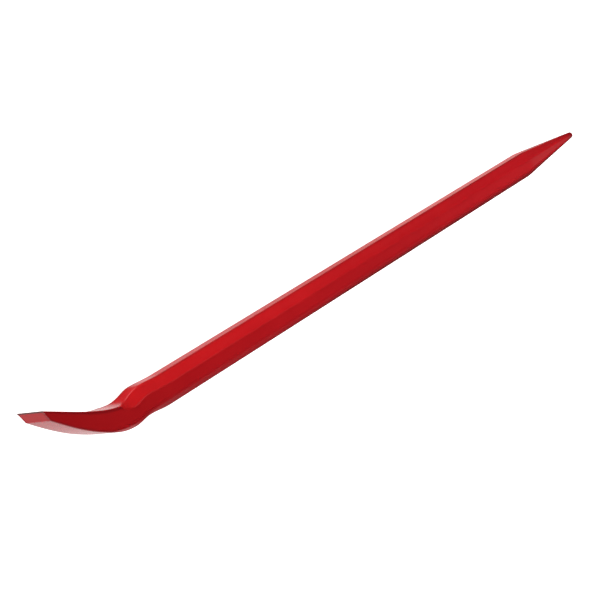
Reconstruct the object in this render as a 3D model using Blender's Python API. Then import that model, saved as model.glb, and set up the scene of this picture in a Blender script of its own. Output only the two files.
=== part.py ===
"""Podger bar: one forged steel bar, octagonal in the shank, with a point at one end and a chisel heel at
the other. It lies on a side flat of the shank. X runs along the shank towards the point, the heel curls
towards +Y and Z is up. The origin is under the middle of the bar's box."""

import math

import bpy

# The whole bar, in metres
BAR_LENGTH = 0.742  # cutting edge to blunt tip, along the shank
ACROSS_FLATS = 0.022  # octagon stock
EDGE_RADIUS = 0.0016  # rounding of the octagon's edges

# The point: an eight-sided taper with a blunt, rounded end
POINT_LENGTH = 0.100
POINT_TIP_FLATS = 0.0054
POINT_BLEND = 0.005  # half the length over which the shank turns into the taper
TIP_ROUNDING = 0.0012

# The heel. A distance is measured along the shank from the cutting edge, a height from the shank's axis,
# and a slope is the rise of a line towards the cutting edge, in degrees.
CUTTING_EDGE_HEIGHT = 0.0316
CUTTING_EDGE_LAND = 0.0005
BLADE_TOP_SLOPE = 22.5
BLADE_UNDER_SLOPE = 36.0
BEVEL_LENGTH = 0.0086
BEVEL_ANGLE = 38.9  # between the blade's top face and the bevel under it

ROOT_DISTANCE = 0.042  # where the bend ends and the blade begins
ROOT_RISE = 0.00715  # middle of the bar's height there
ROOT_THICKNESS = 0.01425
ROOT_TOP_SLOPE = 19.5
ROOT_UNDER_SLOPE = 25.0

HOLLOW_DISTANCE = 0.070  # lowest place of the top face
HOLLOW_DEPTH = 0.00285  # below the shank's top flat
BELLY_DISTANCE = 0.0775  # lowest place of the underside
BELLY_RELIEF = 0.0007  # above the shank's bottom flat

NECK_DISTANCE = 0.091  # where the shank is pinched before the bend
NECK_CREST = 0.0010  # above the shank's top flat
NECK_RELIEF = 0.00225  # above the shank's bottom flat
NECK_CREST_FADE = 0.0235  # length over which the crest falls back to the top flat
NECK_RELIEF_FADE = 0.0243  # length over which the relief falls back to the bottom flat

UPPER_CHAMFER_END = 0.0629  # the shank's upper chamfers run out here
UPPER_CHAMFER_RUNOUT = 0.020
LOWER_CHAMFER_END = 0.0498
LOWER_CHAMFER_RUNOUT = 0.032
NECK_LOWER_CHAMFER = 0.0041  # leg of the lower chamfers between the neck and their run-out
BLADE_EDGE_BREAK = 0.0006  # leg of the small break left on the blade's edges

# Sections along the bar
BLADE_STEP = 0.006
BEND_STEP = 0.002
ARC_STEPS = 2  # facets on each rounded edge

PAINT_RED = (0.44, 0.011, 0.012, 1.0)
PAINT_ROUGHNESS = 0.28

# Sizes that follow from those above
HALF_FLATS = ACROSS_FLATS / 2
CHAMFER_PER_FLATS = (1 - math.tan(math.radians(22.5))) / 2
SHANK_CHAMFER = ACROSS_FLATS * CHAMFER_PER_FLATS
AXIS_Y = (HALF_FLATS - CUTTING_EDGE_HEIGHT) / 2
AXIS_Z = HALF_FLATS
BEVEL_DROP_ANGLE = math.radians(BLADE_TOP_SLOPE + BEVEL_ANGLE)
BEVEL_RUN = BEVEL_LENGTH * math.cos(BEVEL_DROP_ANGLE)
BEVEL_DROP = BEVEL_LENGTH * math.sin(BEVEL_DROP_ANGLE)
TAPER_START = BAR_LENGTH - POINT_LENGTH


def knot(distance, height, slope=0.0):
    """A place that a side line of the heel passes through: distance, height, and height per distance."""
    return distance, height, -math.tan(math.radians(slope))


TOP_LINE = (
    knot(0.0, CUTTING_EDGE_HEIGHT, BLADE_TOP_SLOPE),
    knot(ROOT_DISTANCE, ROOT_RISE + ROOT_THICKNESS / 2, ROOT_TOP_SLOPE),
    knot(HOLLOW_DISTANCE, HALF_FLATS - HOLLOW_DEPTH),
    knot(NECK_DISTANCE, HALF_FLATS + NECK_CREST),
    knot(NECK_DISTANCE + NECK_CREST_FADE, HALF_FLATS),
)
UNDER_LINE = (
    knot(BEVEL_RUN, CUTTING_EDGE_HEIGHT - CUTTING_EDGE_LAND - BEVEL_DROP, BLADE_UNDER_SLOPE),
    knot(ROOT_DISTANCE, ROOT_RISE - ROOT_THICKNESS / 2, ROOT_UNDER_SLOPE),
    knot(BELLY_DISTANCE, BELLY_RELIEF - HALF_FLATS),
    knot(NECK_DISTANCE, NECK_RELIEF - HALF_FLATS),
    knot(NECK_DISTANCE + NECK_RELIEF_FADE, -HALF_FLATS),
)


def height_on(line, distance):
    """Height of a side line: a cubic between each two knots, level beyond the last one."""
    if distance >= line[-1][0]:
        return line[-1][1]
    for (d0, h0, slope0), (d1, h1, slope1) in zip(line, line[1:]):
        if distance <= d1:
            break
    span = d1 - d0
    u = (distance - d0) / span
    ease = u * u * (3 - 2 * u)
    bow = u * (1 - u) * span
    return h0 + (h1 - h0) * ease + bow * ((1 - u) * slope0 - u * slope1)


def under_height(distance):
    """Height of the underside, which is the straight bevel next to the cutting edge."""
    if distance < BEVEL_RUN:
        return CUTTING_EDGE_HEIGHT - CUTTING_EDGE_LAND - BEVEL_DROP * distance / BEVEL_RUN
    return height_on(UNDER_LINE, distance)


def run_out(distance, end, length, leg):
    """Leg of a chamfer that fades to nothing at its end, along an arc."""
    left = min(1.0, max(0.0, (end + length - distance) / length))
    return leg * (1 - left**2)


def lower_leg(distance):
    """Leg of the lower chamfers before their run-out: it widens to the shank's over the neck's fade."""
    u = min(1.0, max(0.0, (distance - NECK_DISTANCE) / NECK_RELIEF_FADE))
    return NECK_LOWER_CHAMFER + (SHANK_CHAMFER - NECK_LOWER_CHAMFER) * u * u * (3 - 2 * u)


def heel_section(distance):
    """Top, bottom, half width and the two chamfer legs of the section at a distance in the heel."""
    top = height_on(TOP_LINE, distance)
    bottom = under_height(distance)
    upper = run_out(distance, UPPER_CHAMFER_END, UPPER_CHAMFER_RUNOUT, SHANK_CHAMFER)
    lower = run_out(distance, LOWER_CHAMFER_END, LOWER_CHAMFER_RUNOUT, lower_leg(distance))
    least = min(BLADE_EDGE_BREAK, (top - bottom) / 4)
    return top, bottom, HALF_FLATS, max(upper, least), max(lower, least)


def point_half_flats(distance):
    """Half the size across flats in the shank and the point, with a parabola where one turns into the
    other and a quarter circle at the blunt end."""
    slope = (HALF_FLATS - POINT_TIP_FLATS / 2) / POINT_LENGTH
    past = distance - TAPER_START
    if past <= -POINT_BLEND:
        return HALF_FLATS
    if past < POINT_BLEND:
        return HALF_FLATS - slope * (past + POINT_BLEND) ** 2 / (4 * POINT_BLEND)
    into_nose = max(0.0, distance - (BAR_LENGTH - TIP_ROUNDING))
    return HALF_FLATS - slope * past - TIP_ROUNDING + math.sqrt(max(0.0, TIP_ROUNDING**2 - into_nose**2))


def point_section(distance):
    half = point_half_flats(distance)
    leg = 2 * half * CHAMFER_PER_FLATS
    return half, -half, half, leg, leg


def rounded_outline(top, bottom, half_width, upper, lower):
    """The section's outline as (height, width) pairs, turning from the top flat over the +Z side. Its
    eight corners each turn 45 degrees and are rounded by an arc."""
    corners = [
        (top, half_width - upper),
        (top - upper, half_width),
        (bottom + lower, half_width),
        (bottom, half_width - lower),
    ]
    corners += [(height, -width) for height, width in reversed(corners)]
    outline = []
    for turn, (height, width) in enumerate(corners):
        leg = upper if turn in (0, 1, 6, 7) else lower
        radius = min(EDGE_RADIUS, leg)
        middle = math.radians(45 * turn + 22.5)
        inset = radius / math.cos(math.radians(22.5))
        centre = (height - inset * math.cos(middle), width - inset * math.sin(middle))
        for step in range(ARC_STEPS + 1):
            angle = math.radians(45 * (turn + step / ARC_STEPS))
            outline.append((centre[0] + radius * math.cos(angle), centre[1] + radius * math.sin(angle)))
    return outline


def spaced(start, end, step):
    """Even stations from start up to, and without, end, no further apart than step."""
    count = max(1, math.ceil((end - start) / step))
    return [start + (end - start) * i / count for i in range(count)]


def stations():
    """Distances from the cutting edge at which the bar is given a section."""
    bend_end = NECK_DISTANCE + max(NECK_CREST_FADE, NECK_RELIEF_FADE)
    blend_start = TAPER_START - POINT_BLEND
    blend_end = TAPER_START + POINT_BLEND
    nose_start = BAR_LENGTH - TIP_ROUNDING
    heel = [0.0]
    heel += spaced(BEVEL_RUN, ROOT_DISTANCE, BLADE_STEP)
    heel += spaced(ROOT_DISTANCE, bend_end, BEND_STEP)
    shank = [bend_end]
    point = spaced(blend_start, blend_end, POINT_BLEND / 2)
    point += [blend_end]
    point += spaced(nose_start, BAR_LENGTH, TIP_ROUNDING / 3)
    point += [BAR_LENGTH]
    return heel + shank, point


def bar_sections():
    """Every section from the cutting edge to the tip, as (distance, outline)."""
    heel, point = stations()
    sections = [(distance, rounded_outline(*heel_section(distance))) for distance in heel]
    return sections + [(distance, rounded_outline(*point_section(distance))) for distance in point]


def loft(name, sections):
    """A closed skin through the sections, capped at both ends, in the bar's own frame."""
    points = []
    for distance, outline in sections:
        x = distance - BAR_LENGTH / 2
        points += [(x, AXIS_Y + height, AXIS_Z + width) for height, width in outline]
    around = len(sections[0][1])
    faces = [tuple(reversed(range(around)))]
    for ring in range(len(sections) - 1):
        first = ring * around
        for i in range(around):
            j = (i + 1) % around
            faces.append((first + i, first + j, first + around + j, first + around + i))
    last = (len(sections) - 1) * around
    faces.append(tuple(range(last, last + around)))
    mesh = bpy.data.meshes.new(name)
    mesh.from_pydata(points, [], faces)
    mesh.validate()
    mesh.shade_smooth()
    mesh.set_sharp_from_angle(angle=math.radians(24))
    return mesh


def red_paint():
    material = bpy.data.materials.new("red_paint")
    material.use_nodes = True
    shader = material.node_tree.nodes["Principled BSDF"]
    shader.inputs["Base Color"].default_value = PAINT_RED
    shader.inputs["Roughness"].default_value = PAINT_ROUGHNESS
    shader.inputs["Metallic"].default_value = 0.0
    return material


def clear_scene():
    for obj in list(bpy.data.objects):
        bpy.data.objects.remove(obj, do_unlink=True)


def main():
    clear_scene()
    collection = bpy.data.collections.new("podger_bar")
    bpy.context.scene.collection.children.link(collection)
    bar = bpy.data.objects.new("forged_bar", loft("forged_bar", bar_sections()))
    bar.data.materials.append(red_paint())
    collection.objects.link(bar)


main()
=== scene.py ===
import math

import bpy
import numpy as np
from mathutils import Matrix, Vector


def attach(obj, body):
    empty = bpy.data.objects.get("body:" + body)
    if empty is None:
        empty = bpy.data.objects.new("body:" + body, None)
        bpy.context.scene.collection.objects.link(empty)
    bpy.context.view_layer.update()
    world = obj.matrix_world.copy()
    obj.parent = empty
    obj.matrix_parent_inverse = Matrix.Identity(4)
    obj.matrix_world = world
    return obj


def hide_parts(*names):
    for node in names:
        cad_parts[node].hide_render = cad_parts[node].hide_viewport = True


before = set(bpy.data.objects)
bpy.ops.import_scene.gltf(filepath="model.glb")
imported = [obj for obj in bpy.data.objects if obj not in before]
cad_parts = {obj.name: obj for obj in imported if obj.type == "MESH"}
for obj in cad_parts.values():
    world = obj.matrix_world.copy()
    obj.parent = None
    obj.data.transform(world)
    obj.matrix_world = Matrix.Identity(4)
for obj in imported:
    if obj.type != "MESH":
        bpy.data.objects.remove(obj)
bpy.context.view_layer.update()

# The bar's own sizes in metres, as in its CAD source. Distances run along the shank from the cutting edge,
# heights run from the shank's axis towards the side that the heel curls to, and slopes are in degrees.
BAR_LENGTH = 0.742
ACROSS_FLATS = 0.022

POINT_LENGTH = 0.100
POINT_TIP_FLATS = 0.0054
POINT_BLEND = 0.005
TIP_ROUNDING = 0.0012

CUTTING_EDGE_HEIGHT = 0.0316
CUTTING_EDGE_LAND = 0.0005
BLADE_TOP_SLOPE = 22.5
BLADE_UNDER_SLOPE = 36.0
BEVEL_LENGTH = 0.0086
BEVEL_ANGLE = 38.9

ROOT_DISTANCE = 0.042
ROOT_RISE = 0.00715
ROOT_THICKNESS = 0.01425
ROOT_TOP_SLOPE = 19.5
ROOT_UNDER_SLOPE = 25.0

HOLLOW_DISTANCE = 0.070
HOLLOW_DEPTH = 0.00285
BELLY_DISTANCE = 0.0775
BELLY_RELIEF = 0.0007

NECK_DISTANCE = 0.091
NECK_CREST = 0.0010
NECK_RELIEF = 0.00225
NECK_CREST_FADE = 0.0235
NECK_RELIEF_FADE = 0.0243

UPPER_CHAMFER_END = 0.0629
UPPER_CHAMFER_RUNOUT = 0.020
LOWER_CHAMFER_END = 0.0498
LOWER_CHAMFER_RUNOUT = 0.032
NECK_LOWER_CHAMFER = 0.0041
BLADE_EDGE_BREAK = 0.0006

# The fine mesh. Its edges are softer than the CAD solid's.
UPPER_EDGE_RADIUS = 0.0022
LOWER_EDGE_RADIUS = 0.0045
HEEL_STEP = 0.0005
SHANK_STEP = 0.004
TAPER_STEP = 0.002
NOSE_RINGS = 9
CORNER_TURN = 45.0  # degrees that the outline turns at each corner of a section
ARC_FACETS = 6
FLAT_CUTS = (0.06, 0.14, 0.50, 0.86, 0.94)  # where each flat is divided, as shares of its width
SHARP_ANGLE = 20.0  # degrees between faces from which an edge is shaded sharp

# Painted shade: dark rims painted into the paint's colour where shade falls along the edges, and a darker
# # tip, as marks from 0 to 1. A START or END is the distance where a change begins and the length that it
# # takes. Near is the side that the camera sees, and far the other.
SHANK_RIM = 0.45  # beside the top flat
UNDER_RIM = 0.52  # beside the bottom flat at the neck, growing to 1 along the shank
UNDER_RIM_START = (0.18, 0.20)
BLADE_UNDER_RIM = 0.6  # on the blade's lower edges
BLADE_RIM_FADE = 0.0015  # how much wider a chamfer gets while its blade edge's rim fades
SIDE_RIM = np.array([0.7, 0, 0, 0, 0.25])  # share of the arcs' rims at the cuts of a side flat
HOLLOW_RIM = np.array([0.8, 0.2, 0, 0, 0])  # the same for the top flat in the hollow
HOLLOW_RIM_START = (0.054, 0.010)
HOLLOW_RIM_END = (0.088, 0.012)
FAR_TOP_RIM_START = (HOLLOW_DISTANCE, 0.010)
TAPER_RIM_LOSS = 0.85  # share of the shank's rim that the taper goes without
TAPER_LOSS_START = (0.635, 0.020)
TAPER_LOSS_END = (0.705, 0.025)
NEAR_TAPER_RIM_START = (0.630, 0.070)  # on the near upper chamfer, up to SHANK_RIM
NEAR_TIP_RIM_START = (0.700, 0.035)  # the same, from SHANK_RIM to 1
NOSE_RIM = 0.020  # length at the tip over which the whole bar darkens
WORN_LENGTH = 0.0007

# The paint. A RANGE is the part of a noise, or of noise times wear, that its effect is spread over.
PAINT_REDS = ((0.365, 0.0056, 0.0090, 1), (0.395, 0.0066, 0.0100, 1))
DRIFT_RANGE = (0.3, 0.7)
# The next two are painted shade: the dark red that the marked rims turn towards, and how far.
SHADE_RIM_RED = (0.120, 0.0034, 0.0070, 1)
SHADE_RIM_STRENGTH = 0.7
GLOSS_ROUGHNESS = (0.20, 0.25)
PEEL_RANGE = (0.25, 0.75)
PEEL_DEPTH = 0.00001
RIPPLE_DEPTH = 0.00012
WORN_COLOUR = (0.120, 0.035, 0.032, 1)
WORN_ROUGHNESS = 0.42
WORN_RANGE = (0.16, 0.34)

# The camera, fitted to the photograph, with its focal length and sensor in millimetres
CAMERA_PLACE = (-1.0960, 0.2599, 0.7979)
CAMERA_AIM = (-0.0872, -0.0084, 0.0110)
CAMERA_UP = (0.3351, 0.9357, 0.1105)
FOCAL_LENGTH = 108.49
SENSOR_WIDTH = 36.0

FLOOR_SIDE = 60.0
FLOOR_GREY = 0.45
FLOOR_GLOW = 1.25

# What the gloss reflects, by the direction (x, y, z) looked in. A pair with an axis beside it is where a
# change along that axis starts and ends.
SHEET_RISE = (-0.58, -1.0)  # y
SHEET_RISE_HEIGHT = 0.84
SHEET_TOP = (0.41, 0.50)  # rise less z
SHEET_FOOT = (-0.79, -0.74)  # z
SHEET_SIDE = (0.44, 0.02)  # y
SHEET_FORWARD = (-0.10, 0.35)  # x
SHEET_BACK_GLOW = 0.80
GAP_FOOT = (-0.66, -0.60)  # z
GAP_START = (-0.52, -0.46)  # y
GAP_END = (0.07, -0.03)  # y
WHITE_FORWARD = (0.10, 0.62)  # x
WHITE_ACROSS = (-0.62, -0.40)  # y
WHITE_GLOW = (0.73, 0.96)
WARM_ACROSS = (-0.05, 0.12)  # y
WARM_TINT_FORWARD = (0.74, 0.80)  # x
WARM_LIFT_FORWARD = (0.76, 0.84)  # x
WARM_LIFT = 2.0
WARM_TINT = (1, 0.44, 0.43, 1)
ROOM_GLOW = 0.025
# Each panel's direction, the cosines to it at its edge and where it is brightest, and its strength
PANELS = (
    ((0.925, -0.19, 0.33), 0.985, 1.0, 0.180),
    ((0.46, 0.86, -0.22), 0.965, 0.992, 1.4),
    ((0.60, 0.36, 0.71), 0.978, 0.997, 0.9),
)

# The lights, with angles in degrees
SUN_PLACE = (-0.66, 0.12, 0.41)
SUN_STRENGTH = 0.80
SUN_ANGLE = 50
SPOT_RADIUS = 0.2
WHITE = (1.0, 1.0, 1.0)
WARM = (1.0, 0.7, 0.4)
# Each spot's name, its place, where it points, its watts, the angle that it spans and its colour
SPOTS = (
    ("heel_spot", (-0.45, 0.0, 1.3), (-0.33, 0, 0), 5.5, 26, WHITE),
    ("bevel_spot", (-1.3, -0.5, 0.12), (-0.35, 0, 0), 3.0, 30, WHITE),
    ("upper_heel_spot", (-0.6, 1.2, 0.32), (-0.28, 0, 0), 48.5, 34, WARM),
    ("lower_heel_spot", (-0.7, -0.9, 0.9), (-0.30, 0, 0), 3.0, 40, WHITE),
    ("upper_shank_spot", (-0.7, 1.1, 0.4), (-0.16, 0, 0), 36.0, 24, WHITE),
    ("lower_shank_spot", (-0.7, -1.1, 0.55), (-0.13, 0, 0), 50.0, 24, WHITE),
    ("middle_spot", (-0.5, 0.17, 1.4), (0.12, 0, 0), 29.0, 50, WHITE),
    ("shank_spot", (-0.2, 0.20, 1.4), (-0.01, 0, 0), 13.0, 26, WHITE),
    ("point_spot", (-0.2, 0.24, 1.4), (0.42, 0, 0), 91.0, 34, WHITE),
    ("taper_spot", (0.30, -0.05, 1.2), (0.36, 0, 0), 9.0, 18, WHITE),
)

# Sizes that follow from those above
HALF_FLATS = ACROSS_FLATS / 2
CHAMFER_PER_FLATS = (1 - math.tan(math.radians(CORNER_TURN / 2))) / 2
SHANK_CHAMFER = ACROSS_FLATS * CHAMFER_PER_FLATS
AXIS_Y = (HALF_FLATS - CUTTING_EDGE_HEIGHT) / 2
AXIS_Z = HALF_FLATS
BEVEL_DROP_ANGLE = math.radians(BLADE_TOP_SLOPE + BEVEL_ANGLE)
BEVEL_RUN = BEVEL_LENGTH * math.cos(BEVEL_DROP_ANGLE)
BEVEL_DROP = BEVEL_LENGTH * math.sin(BEVEL_DROP_ANGLE)
TAPER_START = BAR_LENGTH - POINT_LENGTH


def knot(distance, height, slope=0.0):
    """A place that a side line of the heel passes through: distance, height, and height per distance."""
    return distance, height, -math.tan(math.radians(slope))


TOP_LINE = (
    knot(0.0, CUTTING_EDGE_HEIGHT, BLADE_TOP_SLOPE),
    knot(ROOT_DISTANCE, ROOT_RISE + ROOT_THICKNESS / 2, ROOT_TOP_SLOPE),
    knot(HOLLOW_DISTANCE, HALF_FLATS - HOLLOW_DEPTH),
    knot(NECK_DISTANCE, HALF_FLATS + NECK_CREST),
    knot(NECK_DISTANCE + NECK_CREST_FADE, HALF_FLATS),
)
UNDER_LINE = (
    knot(BEVEL_RUN, CUTTING_EDGE_HEIGHT - CUTTING_EDGE_LAND - BEVEL_DROP, BLADE_UNDER_SLOPE),
    knot(ROOT_DISTANCE, ROOT_RISE - ROOT_THICKNESS / 2, ROOT_UNDER_SLOPE),
    knot(BELLY_DISTANCE, BELLY_RELIEF - HALF_FLATS),
    knot(NECK_DISTANCE, NECK_RELIEF - HALF_FLATS),
    knot(NECK_DISTANCE + NECK_RELIEF_FADE, -HALF_FLATS),
)


def ease(u):
    """0 to 1 as 3u^2 - 2u^3, held level outside."""
    u = np.clip(u, 0, 1)
    return u * u * (3 - 2 * u)


def rise(s, start, length):
    """0 up to start and 1 from start + length on, eased between them."""
    return ease((s - start) / length)


def height_on(line, s):
    """Heights of a side line. Between two knots it is the cubic
    h0 + (h1 - h0)(3u^2 - 2u^3) + span u(1 - u)((1 - u)m0 - u m1), and it is level beyond the last knot."""
    height = np.full(s.shape, line[-1][1])
    for (d0, h0, m0), (d1, h1, m1) in reversed(list(zip(line, line[1:]))):
        u = (s - d0) / (d1 - d0)
        curve = h0 + (h1 - h0) * u * u * (3 - 2 * u) + u * (1 - u) * (d1 - d0) * ((1 - u) * m0 - u * m1)
        height = np.where(s <= d1, curve, height)
    return height


def run_out(s, end, length, leg):
    """A chamfer's leg, fading along a parabola: leg (1 - left^2), where left is 0 at the start of its run-out
    and 1 at its end."""
    left = np.clip((end + length - s) / length, 0, 1)
    return leg * (1 - left**2)


def heel_sections(s):
    """Top, bottom, half width and both chamfer legs in the heel, from its two side lines. The underside is a
    straight bevel up to BEVEL_RUN."""
    top = height_on(TOP_LINE, s)
    bevel = CUTTING_EDGE_HEIGHT - CUTTING_EDGE_LAND - BEVEL_DROP * s / BEVEL_RUN
    bottom = np.where(s < BEVEL_RUN, bevel, height_on(UNDER_LINE, s))
    widening = rise(s, NECK_DISTANCE, NECK_RELIEF_FADE)
    lower_leg = NECK_LOWER_CHAMFER + (SHANK_CHAMFER - NECK_LOWER_CHAMFER) * widening
    least = np.minimum(BLADE_EDGE_BREAK, (top - bottom) / 4)
    upper = np.maximum(run_out(s, UPPER_CHAMFER_END, UPPER_CHAMFER_RUNOUT, SHANK_CHAMFER), least)
    lower = np.maximum(run_out(s, LOWER_CHAMFER_END, LOWER_CHAMFER_RUNOUT, lower_leg), least)
    return top, bottom, np.full(s.shape, HALF_FLATS), upper, lower


def point_sections(s):
    """The same five sizes in the shank and the point. The half size across flats falls along a straight line,
    with a parabola at its start and a quarter circle at the blunt end."""
    slope = (HALF_FLATS - POINT_TIP_FLATS / 2) / POINT_LENGTH
    past = s - TAPER_START
    blend = HALF_FLATS - slope * np.clip(past + POINT_BLEND, 0, None) ** 2 / (4 * POINT_BLEND)
    nose = np.clip(s - (BAR_LENGTH - TIP_ROUNDING), 0, TIP_ROUNDING)
    straight = HALF_FLATS - slope * past - TIP_ROUNDING + np.sqrt(TIP_ROUNDING**2 - nose**2)
    half = np.where(past < POINT_BLEND, blend, straight)
    leg = 2 * half * CHAMFER_PER_FLATS
    return half, -half, half, leg, leg


def outlines(top, bottom, half_width, upper, lower):
    """Each section's outline as (height, width) pairs, turning from the top flat over the +Z side. It has
    eight corners, each an arc c + r (cos a, sin a) with the cut points of the flat that follows it."""
    upper_radius = np.minimum(UPPER_EDGE_RADIUS, upper)
    lower_radius = np.minimum(LOWER_EDGE_RADIUS, lower)
    corners = [
        (top, half_width - upper, upper_radius),
        (top - upper, half_width, upper_radius),
        (bottom + lower, half_width, lower_radius),
        (bottom, half_width - lower, lower_radius),
    ]
    corners += [(height, -width, radius) for height, width, radius in reversed(corners)]
    arcs = []
    for turn, (height, width, radius) in enumerate(corners):
        middle = math.radians(CORNER_TURN * turn + CORNER_TURN / 2)
        inset = radius / math.cos(math.radians(CORNER_TURN / 2))
        a = np.radians(CORNER_TURN * (turn + np.arange(ARC_FACETS + 1) / ARC_FACETS))
        heights = (height - inset * math.cos(middle))[:, None] + radius[:, None] * np.cos(a)
        widths = (width - inset * math.sin(middle))[:, None] + radius[:, None] * np.sin(a)
        arcs.append(np.stack([heights, widths], -1))
    cuts = np.array(FLAT_CUTS)[None, :, None]
    parts = []
    for arc, following in zip(arcs, arcs[1:] + arcs[:1]):
        parts += [arc, arc[:, -1:] * (1 - cuts) + following[:, :1] * cuts]
    return np.concatenate(parts, axis=1)


def shade_rim_marks(distance, upper, lower):
    """How much painted shade each point of a section gets, from 0 to 1: darkening painted into the colour
    along edges where shade falls. The arcs of a chamfer are dark where it has run out into the blade. Past
    the neck the arcs beside the top flat have SHANK_RIM, less on the taper, and those beside the bottom flat
    grow from
    UNDER_RIM to 1. In the hollow the top flat's far arc is 1. The cut points of a flat mix the marks of its
    two arcs, times its share. On the near upper chamfer they darken along the taper instead, painted shade
    that grows towards the tip and is most beside the top flat. The nose is dark all round."""
    taper = rise(distance, *TAPER_LOSS_START) * (1 - rise(distance, *TAPER_LOSS_END))
    shank_rim = SHANK_RIM * (1 - TAPER_RIM_LOSS * taper)
    hollow = rise(distance, *HOLLOW_RIM_START) * (1 - rise(distance, *HOLLOW_RIM_END))
    near_top = shank_rim * rise(distance, NECK_DISTANCE, NECK_CREST_FADE)
    far_top = np.maximum(hollow, shank_rim * rise(distance, *FAR_TOP_RIM_START))
    growing = UNDER_RIM + (1 - UNDER_RIM) * rise(distance, *UNDER_RIM_START)
    under = growing * rise(distance, NECK_DISTANCE, NECK_RELIEF_FADE)
    blade_top = 1 - rise(upper, BLADE_EDGE_BREAK, BLADE_RIM_FADE)
    blade_under = BLADE_UNDER_RIM * (1 - rise(lower, BLADE_EDGE_BREAK, BLADE_RIM_FADE))
    beside_bottom = np.maximum(blade_under, under)
    arcs = [np.maximum(blade_top, near_top), blade_top, blade_under, beside_bottom]
    arcs += [beside_bottom, blade_under, blade_top, np.maximum(blade_top, far_top)]

    # In the order of the outline: upper chamfer, side, lower chamfer, bottom, lower chamfer, side, upper
    # chamfer and top
    shares = [0, SIDE_RIM, 1, 0, 1, SIDE_RIM, 0, HOLLOW_RIM * hollow[:, None]]
    along = np.array(FLAT_CUTS)
    parts = []
    for arc, following, share in zip(arcs, arcs[1:] + arcs[:1], shares):
        cuts = (arc[:, None] * (1 - along) + following[:, None] * along) * share
        parts += [np.repeat(arc[:, None], ARC_FACETS + 1, axis=1), cuts]
    near_taper = SHANK_RIM * rise(distance, *NEAR_TAPER_RIM_START)
    near_tip = (1 - SHANK_RIM) * rise(distance, *NEAR_TIP_RIM_START)
    parts[1] = (near_taper + near_tip)[:, None] * (1 - along)  # the near upper chamfer's cut points
    nose = rise(distance, BAR_LENGTH - NOSE_RIM, NOSE_RIM)
    return np.maximum(np.concatenate(parts, axis=1), nose[:, None])


def wear_marks(distance, shape):
    """1 on the cutting edge and on the blunt tip, falling smoothly to 0 within WORN_LENGTH of them."""
    from_end = np.minimum(distance, BAR_LENGTH - distance)
    return np.broadcast_to(1 - ease(from_end / WORN_LENGTH)[:, None], shape)


def even(start, end, step):
    """Even places from start up to, and without, end, no further apart than step."""
    return np.linspace(start, end, max(2, math.ceil((end - start) / step) + 1))[:-1]


def skin(name, points, marks):
    """A closed mesh from a grid of points, rings x around x 3, each ring joined to the next, with both ends
    capped by one face. Each mark, rings x around, becomes a point attribute."""
    rings, around = points.shape[:2]
    first = np.arange(rings - 1)[:, None] * around + np.arange(around)[None, :]
    beside = np.arange(rings - 1)[:, None] * around + (np.arange(around)[None, :] + 1) % around
    quads = np.stack([first, beside, beside + around, first + around], -1).reshape(-1, 4)
    last = (rings - 1) * around
    faces = quads.tolist() + [list(range(around))[::-1], list(range(last, last + around))]
    mesh = bpy.data.meshes.new(name)
    mesh.from_pydata(points.reshape(-1, 3).tolist(), [], faces)
    for mark, values in marks.items():
        mesh.attributes.new(mark, "FLOAT", "POINT").data.foreach_set("value", values.ravel())
    mesh.shade_smooth()
    mesh.set_sharp_from_angle(angle=math.radians(SHARP_ANGLE))
    piece = bpy.data.objects.new(name, mesh)
    bpy.context.scene.collection.objects.link(piece)
    return piece


def painted_bar():
    """The forged bar: section outlines set square across the shank at each distance from the cutting edge."""
    bend_end = NECK_DISTANCE + max(NECK_CREST_FADE, NECK_RELIEF_FADE)
    blend_start = TAPER_START - POINT_BLEND
    blend_end = TAPER_START + POINT_BLEND
    nose_start = BAR_LENGTH - TIP_ROUNDING
    heel = np.concatenate([even(0, BEVEL_RUN, HEEL_STEP), even(BEVEL_RUN, bend_end, HEEL_STEP)])
    point = np.concatenate([
        even(bend_end, blend_start, SHANK_STEP),
        even(blend_start, blend_end, HEEL_STEP),
        even(blend_end, nose_start, TAPER_STEP),
        BAR_LENGTH - TIP_ROUNDING * (1 - np.sin(np.linspace(0, math.pi / 2, NOSE_RINGS))),
    ])
    sizes = [np.concatenate(pair) for pair in zip(heel_sections(heel), point_sections(point))]
    outline = outlines(*sizes)
    distance = np.concatenate([heel, point])
    points = np.empty(outline.shape[:2] + (3,))
    points[..., 0] = (distance - BAR_LENGTH / 2)[:, None]
    points[..., 1] = AXIS_Y + outline[..., 0]
    points[..., 2] = AXIS_Z + outline[..., 1]
    upper, lower = sizes[3:]
    # The first mark is painted shade along the rims, and the second is wear.
    marks = {"shade_rim": shade_rim_marks(distance, upper, lower), "wear": wear_marks(distance, outline.shape[:2])}
    return skin("painted_bar", points, marks)


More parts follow.
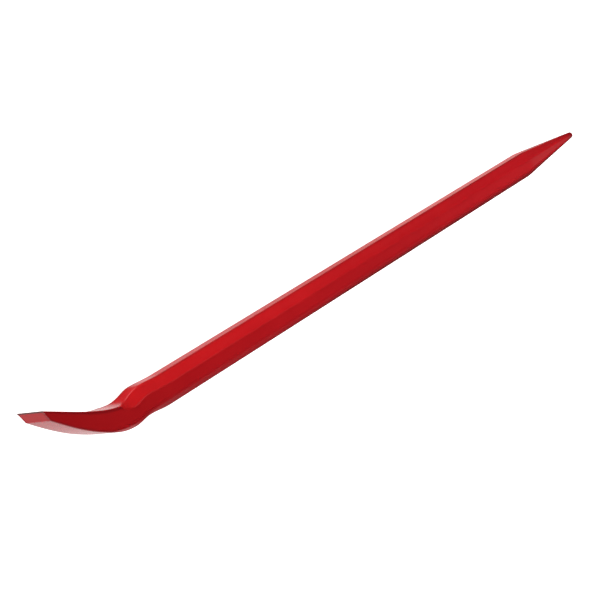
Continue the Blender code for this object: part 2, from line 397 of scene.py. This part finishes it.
class Nodes:
    """A material's or world's node tree, filled from an empty one. Every method but add returns the result
    of the node that it adds, ready to be linked."""

    MIX_SOCKETS = {"FLOAT": (2, 3, 0), "RGBA": (6, 7, 2)}  # A, B and Result, whose names repeat in the node

    def __init__(self, owner):
        owner.use_nodes = True
        self.tree = owner.node_tree
        self.tree.nodes.clear()

    def add(self, kind, inputs=None, **settings):
        """A new node. An input is linked where it is given a socket, and set where it is given a value."""
        node = self.tree.nodes.new(kind)
        for name, value in settings.items():
            setattr(node, name, value)
        for key, value in (inputs or {}).items():
            if isinstance(value, bpy.types.NodeSocket):
                self.tree.links.new(value, node.inputs[key])
            else:
                node.inputs[key].default_value = value
        return node

    def calculation(self, operation, first, second):
        return self.add("ShaderNodeMath", {0: first, 1: second}, operation=operation).outputs[0]

    def product(self, first, second):
        return self.calculation("MULTIPLY", first, second)

    def total(self, first, second):
        return self.calculation("ADD", first, second)

    def ramp(self, value, start, end, low=0.0, high=1.0, shape="LINEAR"):
        """low to high while the value goes from start to end, and level outside."""
        limits = {"From Min": start, "From Max": end, "To Min": low, "To Max": high}
        return self.add("ShaderNodeMapRange", {"Value": value, **limits}, interpolation_type=shape).outputs[0]

    def smooth(self, value, start, end, low=0.0, high=1.0):
        """The same, eased as 3u^2 - 2u^3."""
        return self.ramp(value, start, end, low, high, "SMOOTHSTEP")

    def noise(self, place, scale, detail, roughness):
        settings = {"Vector": place, "Scale": scale, "Detail": detail, "Roughness": roughness}
        return self.add("ShaderNodeTexNoise", settings).outputs[0]

    def mark(self, name):
        return self.add("ShaderNodeAttribute", attribute_name=name).outputs["Fac"]

    def mix(self, kind, factor, first, second):
        """first turning into second as the factor goes from 0 to 1: two FLOAT values or two RGBA colours."""
        a, b, result = self.MIX_SOCKETS[kind]
        settings = {"Factor": factor, a: first, b: second}
        return self.add("ShaderNodeMix", settings, data_type=kind).outputs[result]


def red_gloss_paint():
    """Sprayed red gloss: a faint orange peel and ripple in the surface, and a slightly uneven red, with
    painted shade darkening it along the rims, worn to a duller, brownish dark at the cutting edge and the
    tip."""
    paint = bpy.data.materials.new("red_gloss_paint")
    n = Nodes(paint)
    place = n.add("ShaderNodeTexCoord").outputs["Object"]
    peel = n.noise(place, scale=420.0, detail=2.0, roughness=0.5)
    ripple = n.noise(place, scale=60.0, detail=1.0, roughness=0.4)
    drift = n.noise(place, scale=28.0, detail=3.0, roughness=0.55)
    chips = n.noise(place, scale=900.0, detail=3.0, roughness=0.6)
    shade_rim = n.mark("shade_rim")
    wear = n.mark("wear")
    red = n.mix("RGBA", n.ramp(drift, *DRIFT_RANGE), *PAINT_REDS)
    # Painted shade: the red darkens along the marked rims, where shade falls on the edges.
    red_and_shade = n.mix("RGBA", n.product(shade_rim, SHADE_RIM_STRENGTH), red, SHADE_RIM_RED)
    bare = n.ramp(n.product(wear, chips), *WORN_RANGE)
    colour = n.mix("RGBA", bare, red_and_shade, WORN_COLOUR)
    gloss = n.ramp(peel, *PEEL_RANGE, *GLOSS_ROUGHNESS)
    roughness = n.mix("FLOAT", bare, gloss, WORN_ROUGHNESS)
    waves = n.add("ShaderNodeBump", {"Height": ripple, "Distance": RIPPLE_DEPTH, "Strength": 0.35})
    surface = n.add("ShaderNodeBump", {
        "Height": peel, "Distance": PEEL_DEPTH, "Strength": 0.5, "Normal": waves.outputs[0]})
    shader = n.add("ShaderNodeBsdfPrincipled", {
        "Base Color": colour, "Roughness": roughness, "Normal": surface.outputs[0]})
    n.add("ShaderNodeOutputMaterial", {"Surface": shader.outputs[0]})
    return paint


def pale_floor():
    """A wide plane under the bar, like the diffusing top of a light table: pale and softly lit from below."""
    mesh = bpy.data.meshes.new("pale_floor")
    half = FLOOR_SIDE / 2
    corners = [(-half, -half, 0), (half, -half, 0), (half, half, 0), (-half, half, 0)]
    mesh.from_pydata(corners, [], [(0, 1, 2, 3)])
    floor = bpy.data.objects.new("pale_floor", mesh)
    bpy.context.scene.collection.objects.link(floor)
    surface = bpy.data.materials.new("light_table_top")
    n = Nodes(surface)
    shader = n.add("ShaderNodeBsdfPrincipled", {
        "Base Color": (FLOOR_GREY, FLOOR_GREY, FLOOR_GREY, 1), "Roughness": 0.9, "Specular IOR Level": 0.0,
        "Emission Color": (1, 1, 1, 1), "Emission Strength": FLOOR_GLOW})
    n.add("ShaderNodeOutputMaterial", {"Surface": shader.outputs[0]})
    mesh.materials.append(surface)
    floor.visible_glossy = False


def studio_surround():
    """A dim room for the gloss to reflect, with one wide white sheet low beyond the bar. The sheet shows
    where -z, plus a rise of 2 max(0, -y - 0.58), is above about 0.45. It fades towards +y and straight below,
    and a gap around y = -0.2 leaves only its foot. It is whiter towards +x and +y. Far towards +x, on the +y
    side of the gap, it is warm and twice as strong. Three small panels, one beyond the point and two on the
    +y side, catch the bar's edges."""
    world = bpy.data.worlds.new("studio_surround")
    bpy.context.scene.world = world
    n = Nodes(world)
    toward = n.add("ShaderNodeTexCoord").outputs["Generated"]
    axes = n.add("ShaderNodeSeparateXYZ", {"Vector": toward})
    x, y, z = (axes.outputs[axis] for axis in "XYZ")

    depth = n.calculation("SUBTRACT", n.ramp(y, *SHEET_RISE, 0, SHEET_RISE_HEIGHT), z)
    gap = n.product(n.smooth(z, *GAP_FOOT), n.product(n.smooth(y, *GAP_START), n.smooth(y, *GAP_END)))
    side = n.smooth(y, *SHEET_SIDE)
    extent = n.product(side, n.product(n.smooth(gap, 0, 1, 1, 0), n.smooth(z, *SHEET_FOOT)))
    shown = n.product(n.smooth(depth, *SHEET_TOP), extent)
    sheet = n.product(shown, n.smooth(x, *SHEET_FORWARD, SHEET_BACK_GLOW, 1))
    forward = n.product(n.smooth(x, *WHITE_FORWARD), n.smooth(y, *WHITE_ACROSS))
    whiteness = n.smooth(forward, 0, 1, *WHITE_GLOW)
    beside_gap = n.smooth(y, *WARM_ACROSS)
    warmth = n.product(n.smooth(x, *WARM_TINT_FORWARD), beside_gap)
    lift = n.product(n.smooth(x, *WARM_LIFT_FORWARD), beside_gap)
    glow = n.product(n.product(sheet, whiteness), n.smooth(lift, 0, 1, 1, WARM_LIFT))
    for direction, edge, core, strength in PANELS:
        cosine = n.add("ShaderNodeVectorMath", {0: toward, 1: direction}, operation="DOT_PRODUCT")
        glow = n.total(glow, n.smooth(cosine.outputs["Value"], edge, core, 0, strength))
    colour = n.mix("RGBA", warmth, (1, 1, 1, 1), WARM_TINT)
    back = n.add("ShaderNodeBackground", {"Color": colour, "Strength": n.total(glow, ROOM_GLOW)})
    n.add("ShaderNodeOutputWorld", {"Surface": back.outputs[0]})


def aimed_lamp(name, kind, place, aim, power):
    """A lamp at a place, turned to shine towards its aim. It is returned for its other settings."""
    lamp = bpy.data.lights.new(name, kind)
    lamp.energy = power
    holder = bpy.data.objects.new(name, lamp)
    bpy.context.scene.collection.objects.link(holder)
    holder.location = place
    holder.rotation_euler = (Vector(aim) - Vector(place)).to_track_quat("-Z", "Y").to_euler()
    return lamp


def lights():
    """A wide soft sun from the heel's end, and soft spots: slanting ones from both sides onto the heel and
    the first part of the shank, and high ones along the whole bar."""
    sun = aimed_lamp("heel_sun", "SUN", SUN_PLACE, (0, 0, 0), SUN_STRENGTH)
    sun.angle = math.radians(SUN_ANGLE)
    for name, place, aim, watts, span, colour in SPOTS:
        spot = aimed_lamp(name, "SPOT", place, aim, watts)
        spot.color = colour
        spot.spot_size = math.radians(span)
        spot.spot_blend = 1.0
        spot.shadow_soft_size = SPOT_RADIUS


def camera():
    """The photograph's camera, with its up direction set square to the line of sight."""
    lens = bpy.data.cameras.new("camera")
    lens.lens = FOCAL_LENGTH
    lens.sensor_width = SENSOR_WIDTH
    view = bpy.data.objects.new("camera", lens)
    bpy.context.scene.collection.objects.link(view)
    place = Vector(CAMERA_PLACE)
    back = (place - Vector(CAMERA_AIM)).normalized()
    right = Vector(CAMERA_UP).cross(back).normalized()
    up = back.cross(right)
    turn = Matrix((right, up, back)).transposed()
    view.matrix_world = Matrix.Translation(place) @ turn.to_4x4()
    bpy.context.scene.camera = view


bpy.context.scene.view_settings.view_transform = "Standard"
camera()
pale_floor()
studio_surround()
lights()

bar = painted_bar()
bar.data.materials.append(red_gloss_paint())
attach(bar, "root")
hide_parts("forged_bar")
